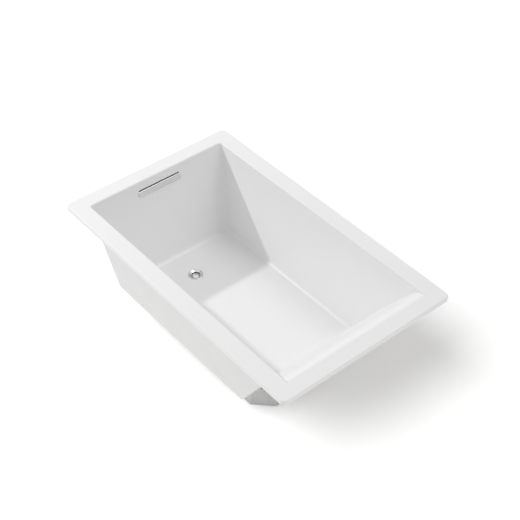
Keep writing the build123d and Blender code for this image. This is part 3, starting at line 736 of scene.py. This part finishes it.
def acrylic():
    """Polished white sanitary acrylic, with the faint waviness that a formed sheet keeps."""
    material, place = finish("acrylic")
    coat(
        place,
        Base_Color=place.noise(3.0, detail=2.0).tint(grey(0.912), grey(0.930)),
        Roughness=0.32 + 0.06 * place.noise(22.0),
        Normal=place.noise(14.0, detail=1.0).bump(0.10, 0.001),
        IOR=1.49,
    )
    return material


def glass_fibre():
    """The outside of the shell: white resin sprayed with chopped glass and rolled down."""
    material, place = finish("glass_fibre")
    strands = place.stretched((260.0, 40.0, 40.0)).noise(1.0, detail=3.0)
    crossing = place.stretched((40.0, 260.0, 160.0)).noise(1.0, detail=3.0)
    strand = place.math("MAXIMUM", strands, crossing)
    pool = place.noise(6.0)
    coat(
        place,
        Base_Color=pool.tint(grey(0.80), grey(0.86)),
        Roughness=0.42 + 0.16 * strand,
        Normal=(0.6 * strand + 0.4 * pool).bump(0.35, 0.0008),
        IOR=1.50,
    )
    return material


def softwood(name, along):
    """Planed softwood with its grain along one axis of the bath."""
    material, place = finish(name)
    lengthwise = Vector((1.0, 1.0, 1.0)) - Vector(along) * 0.94
    grain = place.stretched(lengthwise * 130.0).noise(1.0, detail=5.0, roughness=0.6)
    rings = place.stretched(lengthwise * 34.0).noise(1.0, detail=1.0)
    coat(
        place,
        Base_Color=(0.55 * grain + 0.45 * rings).fade(0.35, 0.65).tint(
            (0.66, 0.45, 0.26, 1.0), (0.45, 0.27, 0.13, 1.0)
        ),
        Roughness=0.50 + 0.25 * grain,
        Normal=grain.bump(0.35, 0.0004),
    )
    return material


def particle_board():
    """Pressed board: pale chips and darker ones in resin."""
    material, place = finish("particle_board")
    chip = place.stretched((190.0, 260.0, 420.0)).node("ShaderNodeTexVoronoi", {"Scale": 1.0})
    fine = place.noise(420.0, detail=3.0)
    shade = (0.6 * chip + 0.5 * fine).fade(0.25, 0.85)
    coat(
        place,
        Base_Color=shade.tint((0.58, 0.44, 0.28, 1.0), (0.33, 0.22, 0.12, 1.0)),
        Roughness=0.62 + 0.2 * fine,
        Normal=shade.bump(0.3, 0.0005),
    )
    return material


def sealed_block():
    """A timber block brushed with pale grey resin: the grain shows through as low ridges."""
    material, place = finish("sealed_block")
    grain = place.stretched((14.0, 150.0, 150.0)).noise(1.0, detail=4.0)
    drips = place.stretched((45.0, 45.0, 9.0)).noise(1.0, detail=2.0)
    coat(
        place,
        Base_Color=(0.5 * grain + 0.5 * drips).fade(0.3, 0.7).tint(grey(0.66), grey(0.56)),
        Roughness=0.34 + 0.22 * grain,
        Normal=(0.5 * grain + 0.5 * drips).bump(0.4, 0.0008),
    )
    return material


def bright_zinc():
    """Bright zinc plate, faintly clouded and brushed."""
    material, place = finish("bright_zinc")
    cloud = place.noise(160.0, detail=3.0)
    coat(
        place,
        Base_Color=cloud.tint((0.66, 0.68, 0.71, 1.0), (0.52, 0.55, 0.60, 1.0)),
        Metallic=1.0,
        Roughness=0.24 + 0.2 * cloud,
        Normal=place.noise(900.0).bump(0.15, 0.0001),
    )
    return material


def moulded(name, colour, worn, roughness, relief):
    """Moulded plastic or rubber with a fine skin and slight changes of tone."""
    material, place = finish(name)
    skin = place.noise(700.0, detail=2.0)
    coat(
        place,
        Base_Color=place.noise(30.0).fade(0.3, 0.7).tint(colour, worn),
        Roughness=roughness + 0.12 * skin,
        Normal=skin.bump(relief, 0.0002),
    )
    return material


def chrome():
    """Polished chrome plate, with the faint wipe marks that a used fitting has."""
    material, place = finish("chrome")
    wipe = place.stretched((50.0, 160.0, 160.0)).noise(1.0, detail=4.0)
    coat(
        place,
        Base_Color=wipe.tint(grey(0.64), grey(0.72)),
        Metallic=1.0,
        Roughness=0.05 + 0.09 * wipe,
        Normal=place.noise(60.0).bump(0.04, 0.0005),
    )
    return material


def turned_brass():
    """Brass with the close rings of a lathe tool round its length."""
    material, place = finish("turned_brass")
    rings = place.stretched((6.0, 6.0, 1600.0)).noise(1.0, detail=2.0)
    coat(
        place,
        Base_Color=rings.tint((0.72, 0.50, 0.20, 1.0), (0.58, 0.38, 0.13, 1.0)),
        Metallic=1.0,
        Roughness=0.22 + 0.2 * rings,
        Normal=rings.bump(0.3, 0.0001),
    )
    return material


def dress(piece, *finishes):
    """Gives a piece its finishes in place of what it came with."""
    piece.data.materials.clear()
    for material in finishes:
        piece.data.materials.append(material)


FINISHES = {
    "acrylic": acrylic(),
    "board": particle_board(),
    "sealed_block": sealed_block(),
    "zinc_steel": bright_zinc(),
    "pad_plastic": moulded("black_polyamide", grey(0.012), grey(0.022), 0.42, 0.25),
    "chrome": chrome(),
    "rubber": moulded("black_rubber", grey(0.010), grey(0.020), 0.60, 0.45),
    "brass": turned_brass(),
    "waste_plastic": moulded("white_waste_plastic", grey(0.76), grey(0.70), 0.28, 0.10),
    "nut_plastic": moulded("grey_white_nut_plastic", grey(0.66), grey(0.58), 0.36, 0.15),
}
BATTEN_FINISHES = {
    "rim_batten_left": softwood("softwood_lengthwise", (1, 0, 0)),
    "rim_batten_drain_end": softwood("softwood_crosswise", (0, 1, 0)),
}
BATTEN_FINISHES["rim_batten_right"] = BATTEN_FINISHES["rim_batten_left"]
BATTEN_FINISHES["rim_batten_backrest_end"] = BATTEN_FINISHES["rim_batten_drain_end"]

for part in frame["record"]["subparts"]:
    node, slot = part["node"], part["material_slot"]
    dress(frame["nodes"][node], BATTEN_FINISHES.get(node) or FINISHES[slot])


def is_backing(face):
    """True for a face on the back of the shell, which the sprayed glass covers."""
    away = (face.center - Vector((0.0, 0.0, HEIGHT))).dot(face.normal) > SAME
    lip_bottom = HEIGHT - LIP_HEIGHT
    under_deck = face.normal.z < -0.5 and face.center.z > lip_bottom + SAME
    return away and (under_deck or face.center.z < lip_bottom - SAME)


def spray_back(shell):
    """Gives the shell's outer side its glass-fibre backing."""
    shell.data.materials.append(glass_fibre())
    for face in shell.data.polygons:
        face.material_index = 1 if is_backing(face) else 0


def spring_wire():
    """The cap's return spring as one welded mesh."""
    source = frame["nodes"]["stopper_spring"]
    mesh = source.data.copy()
    mesh.transform(source.matrix_world)
    spring = bpy.data.objects.new("stopper_spring_wire", mesh)
    bpy.context.scene.collection.objects.link(spring)
    edit(spring)
    bpy.ops.mesh.select_all(action="SELECT")
    bpy.ops.mesh.remove_doubles(threshold=SAME)
    done()
    smooth(spring)
    return spring


def place_piece(piece, node, body, slot):
    """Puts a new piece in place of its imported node, on that node's body."""
    dress(piece, FINISHES[slot])
    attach(piece, body)
    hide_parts(node)


def place_spring():
    """Puts in the return spring on the root body, with a mesh of its own."""
    spring = spring_wire()
    place_piece(spring, "stopper_spring", "root", "zinc_steel")
    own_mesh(spring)


shell = bath_shell()
place_piece(shell, "bath_shell", "root", "acrylic")
spray_back(shell)
place_piece(drain_flange(), "drain_flange", "root", "chrome")
place_piece(stopper_cap(), "stopper_cap", "stopper", "chrome")
place_piece(overflow_trim(), "overflow_trim", "root", "chrome")
place_spring()


# Camera, floor and light

CAMERA_PLACE = Vector((2.88466, -2.33432, 3.89905))
CAMERA_TARGET = Vector((0.0869, -0.01336, 0.559))
CAMERA_LENS = 79.505
CAMERA_SENSOR = 36.0

ROOM_LIGHT = 0.45

# A lamp lists the floor either as all that it lights or as all that it leaves out
BATH_ALONE = "EXCLUDE"
FLOOR_ALONE = "INCLUDE"

# A small near lamp makes the crisp shadow in the basin, and its light falls off along the deck
WINDOW_PLACE = (-4.10, -2.60, 4.06)
WINDOW_RADIUS = 0.12
WINDOW_STRENGTH = 465.0

# Far lamps: name, strength, spread, the side each stands on, what it lights
SOFT_BOXES = (
    ("left_box", 0.20, radians(30.0), (-0.27, -0.82, 0.50), BATH_ALONE),
    ("top_box", 0.60, radians(26.0), (0.19, 0.33, 0.93), BATH_ALONE),
    ("near_box", 0.12, radians(26.0), (0.70, 0.51, 0.50), BATH_ALONE),
    ("back_box", 0.15, radians(12.0), (-0.77, 0.50, 0.40), BATH_ALONE),
    ("floor_box", 2.4, radians(40.0), (-0.10, -0.68, 1.0), FLOOR_ALONE),
)

# The lift is seen by the camera alone and brings the lit floor up to white
FLOOR_SIZE = 40.0
FLOOR_COLOUR = 0.86
FLOOR_LIFT = 0.22


def aim(thing, place, target):
    """Puts a camera or a lamp at a place, looking at a target."""
    thing.location = place
    thing.rotation_euler = (target - place).to_track_quat("-Z", "Y").to_euler()


def add_camera():
    """The photograph's viewpoint."""
    data = bpy.data.cameras.new("view")
    data.lens = CAMERA_LENS
    data.sensor_width = CAMERA_SENSOR
    data.sensor_fit = "HORIZONTAL"
    camera = bpy.data.objects.new("view", data)
    bpy.context.scene.collection.objects.link(camera)
    aim(camera, CAMERA_PLACE, CAMERA_TARGET)
    bpy.context.scene.camera = camera


def add_lamp(name, kind, strength, reach, floor, place):
    """A lamp that lights either the bath alone or the floor alone."""
    data = bpy.data.lights.new(name, kind)
    data.energy = strength
    lamp = bpy.data.objects.new(name, data)
    bpy.context.scene.collection.objects.link(lamp)
    aim(lamp, Vector(place), Vector())
    group = bpy.data.collections.new(name + "_reach")
    group.objects.link(floor)
    lamp.light_linking.receiver_collection = group
    group.collection_objects[0].light_linking.link_state = reach
    return data


def add_lamps(floor):
    """One small near lamp on the bath, broad far ones round it, and one for the floor's shadow."""
    window = add_lamp("window", "POINT", WINDOW_STRENGTH, BATH_ALONE, floor, WINDOW_PLACE)
    window.shadow_soft_size = WINDOW_RADIUS
    for name, strength, spread, place, reach in SOFT_BOXES:
        box = add_lamp(name, "SUN", strength, reach, floor, place)
        box.angle = spread


def add_room():
    """A white room: soft light on the object, plain white where the camera or a gloss sees it."""
    world = bpy.data.worlds.new("room")
    bpy.context.scene.world = world
    world.use_nodes = True
    tree = world.node_tree
    tree.nodes.clear()
    start = Wire(tree, None)
    seen = start.node("ShaderNodeLightPath", {})
    glossy = Wire(tree, seen.output.node.outputs["Is Glossy Ray"])
    through = Wire(tree, seen.output.node.outputs["Is Transmission Ray"])
    white = seen.math("MAXIMUM", seen, glossy.math("MAXIMUM", glossy, through))
    strength = ROOM_LIGHT + (1.0 - ROOM_LIGHT) * white
    room = start.node("ShaderNodeBackground", {"Color": grey(1.0), "Strength": strength})
    start.node("ShaderNodeOutputWorld", {"Surface": room})


def add_floor():
    """A wide pale floor that keeps the bath's shadow and is white elsewhere."""
    bpy.ops.mesh.primitive_plane_add(size=FLOOR_SIZE, location=(0, 0, 0))
    floor = keep("studio_floor")
    material, place = finish("studio_floor")
    matt = place.node("ShaderNodeBsdfDiffuse", {"Color": grey(FLOOR_COLOUR)})
    lift = place.node("ShaderNodeEmission", {"Color": grey(1.0), "Strength": FLOOR_LIFT})
    lifted = place.node("ShaderNodeAddShader", {0: matt, 1: lift})
    seen = place.node("ShaderNodeLightPath", {})
    floor_surface = place.node("ShaderNodeMixShader", {0: seen, 1: matt, 2: lifted})
    place.node("ShaderNodeOutputMaterial", {"Surface": floor_surface})
    dress(floor, material)
    return floor


add_camera()
add_room()
add_lamps(add_floor())

bpy.context.scene.view_settings.view_transform = "Standard"
